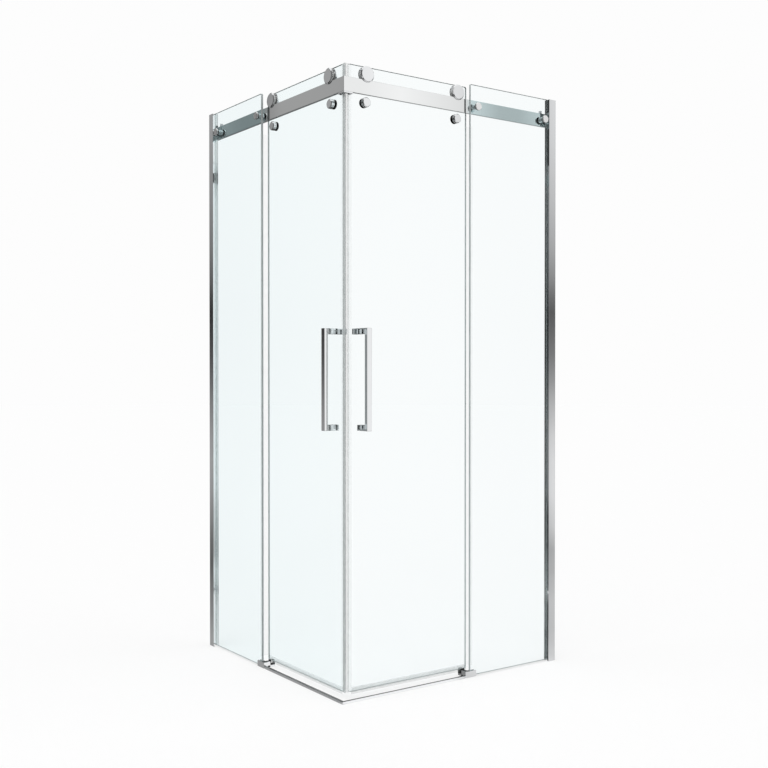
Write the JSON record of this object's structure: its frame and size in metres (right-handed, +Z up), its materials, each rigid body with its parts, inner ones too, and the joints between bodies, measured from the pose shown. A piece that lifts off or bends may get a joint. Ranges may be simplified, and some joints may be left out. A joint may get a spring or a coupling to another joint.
{
  "type": "corner shower enclosure",
  "caption": "Square corner shower enclosure with sliding glass doors hung on rollers from mitred polished rails, fixed glass side panels, flat bar handles and a low sill.",
  "frame": {"origin": "centre of the bounding box's base, on the shower tray", "axes": "+Z up; the right-hand wall of the picture runs along +X and the left-hand wall along +Y, so the corner with the doors points to -X -Y"},
  "size_m": [0.8924, 0.8924, 1.95],
  "materials": {
    "chrome_trim": "bright chrome plate",
    "polished_rail": "mirror-polished bar",
    "clear_glass": "clear toughened glass with a faint cool tint",
    "clear_seal": "clear flexible seal",
    "black_plastic": "black moulded plastic",
    "grey_plastic": "grey moulded plastic",
    "wheel_plastic": "pale hard nylon",
    "bearing_steel": "plain steel"
  },
  "bodies": {
    "frame": {"right_wall_profile": "chrome_trim", "right_glazing_gasket": "clear_seal", "right_fixed_glass": "clear_glass", "right_setting_strip": "clear_seal", "right_rail": "polished_rail", "right_rail_stop": "grey_plastic", "right_rail_bolts": "chrome_trim", "right_rail_spacers": "chrome_trim", "right_overlap_seal": "clear_seal", "right_guide_clamp": "chrome_trim", "right_guide_shoe": "black_plastic", "right_sill": "chrome_trim", "left_wall_profile": "chrome_trim", "left_glazing_gasket": "clear_seal", "left_fixed_glass": "clear_glass", "left_setting_strip": "clear_seal", "left_rail": "polished_rail", "left_rail_stop": "grey_plastic", "left_rail_bolts": "chrome_trim", "left_rail_spacers": "chrome_trim", "left_overlap_seal": "clear_seal", "left_guide_clamp": "chrome_trim", "left_guide_shoe": "black_plastic", "left_sill": "chrome_trim", "corner_connector": "chrome_trim", "connector_screws": "bearing_steel"},
    "right_door": {"right_door_glass": "clear_glass", "right_roller_caps": "chrome_trim", "right_roller_axles": "bearing_steel", "right_roller_back_discs": "chrome_trim", "right_roller_nuts": "chrome_trim", "right_anti_lift_studs": "chrome_trim", "right_stud_nuts": "black_plastic", "right_handle_bar": "chrome_trim", "right_handle_posts": "chrome_trim", "right_inner_knob": "chrome_trim", "right_handle_cap": "chrome_trim", "right_leading_edge_seal": "clear_seal", "right_bottom_seal": "clear_seal"},
    "left_door": {"left_door_glass": "clear_glass", "left_roller_caps": "chrome_trim", "left_roller_axles": "bearing_steel", "left_roller_back_discs": "chrome_trim", "left_roller_nuts": "chrome_trim", "left_anti_lift_studs": "chrome_trim", "left_stud_nuts": "black_plastic", "left_handle_bar": "chrome_trim", "left_handle_posts": "chrome_trim", "left_inner_knob": "chrome_trim", "left_handle_cap": "chrome_trim", "left_leading_edge_seal": "clear_seal", "left_bottom_seal": "clear_seal"},
    "right_near_wheel": {"right_near_wheel_tyre": "wheel_plastic", "right_near_wheel_bearing": "bearing_steel"},
    "right_far_wheel": {"right_far_wheel_tyre": "wheel_plastic", "right_far_wheel_bearing": "bearing_steel"},
    "left_near_wheel": {"left_near_wheel_tyre": "wheel_plastic", "left_near_wheel_bearing": "bearing_steel"},
    "left_far_wheel": {"left_far_wheel_tyre": "wheel_plastic", "left_far_wheel_bearing": "bearing_steel"}
  },
  "joints": [
    {"name": "right_door_slide", "type": "slide", "parent": "frame", "child": "right_door", "axis": [1, 0, 0], "range_m": [0, 0.352]},
    {"name": "right_near_wheel_spin", "type": "hinge", "parent": "right_door", "child": "right_near_wheel", "pos_m": [-0.33175, -0.41225, 1.9203], "axis": [0, 1, 0], "continuous": true},
    {"name": "right_far_wheel_spin", "type": "hinge", "parent": "right_door", "child": "right_far_wheel", "pos_m": [0.02825, -0.41225, 1.9203], "axis": [0, 1, 0], "continuous": true},
    {"name": "left_door_slide", "type": "slide", "parent": "frame", "child": "left_door", "axis": [0, 1, 0], "range_m": [0, 0.352]},
    {"name": "left_near_wheel_spin", "type": "hinge", "parent": "left_door", "child": "left_near_wheel", "pos_m": [-0.41225, -0.33175, 1.9203], "axis": [-1, 0, 0], "continuous": true},
    {"name": "left_far_wheel_spin", "type": "hinge", "parent": "left_door", "child": "left_far_wheel", "pos_m": [-0.41225, 0.02825, 1.9203], "axis": [-1, 0, 0], "continuous": true}
  ],
  "couplings": [
    {"joint": "right_near_wheel_spin", "follows": "right_door_slide", "rad_per_m": 58.824},
    {"joint": "right_far_wheel_spin", "follows": "right_door_slide", "rad_per_m": 58.824},
    {"joint": "left_near_wheel_spin", "follows": "left_door_slide", "rad_per_m": 58.824},
    {"joint": "left_far_wheel_spin", "follows": "left_door_slide", "rad_per_m": 58.824}
  ]
}
